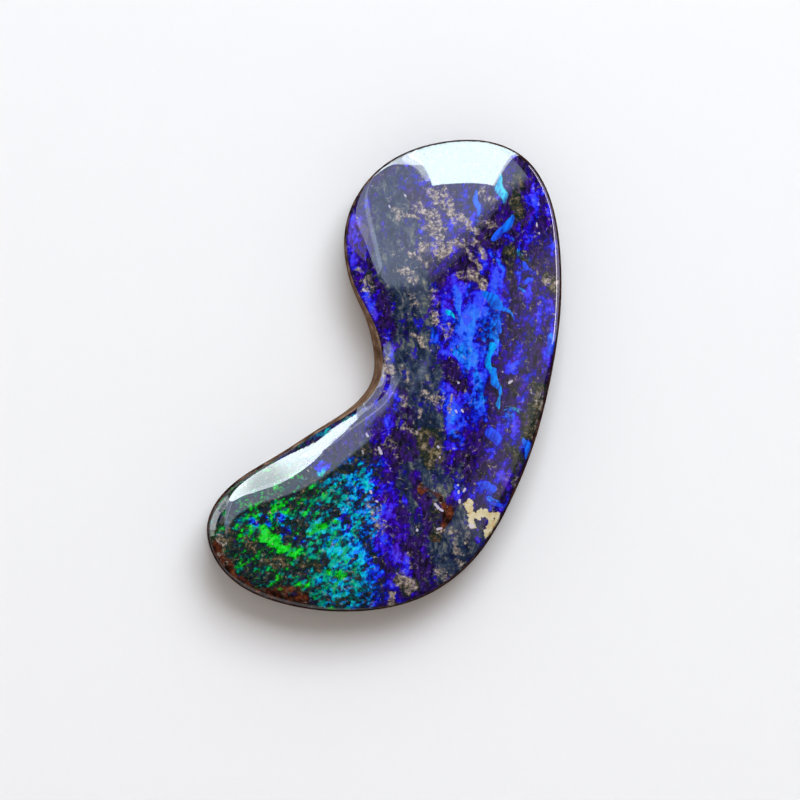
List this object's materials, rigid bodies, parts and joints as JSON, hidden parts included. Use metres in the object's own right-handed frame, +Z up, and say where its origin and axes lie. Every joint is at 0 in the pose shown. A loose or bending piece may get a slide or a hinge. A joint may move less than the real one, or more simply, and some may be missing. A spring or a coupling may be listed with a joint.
{
  "type": "boulder opal cabochon",
  "caption": "Polished kidney-shaped freeform boulder opal, a low domed stone with a thin ironstone rim and a flat back to set or display.",
  "frame": {"origin": "centre of the bounding box's underside, on the surface that the flat back rests on", "axes": "+Z up out of the polished face, +Y along the stone to its rounded head, +X to the right of the hollow as seen from above"},
  "size_m": [0.0176, 0.0236, 0.0037],
  "materials": {
    "opal": "mirror-polished precious opal, violet, blue and green flashes, on a brown ironstone rim and back"
  },
  "bodies": {
    "root": {"boulder_opal": "opal"}
  },
  "joints": []
}
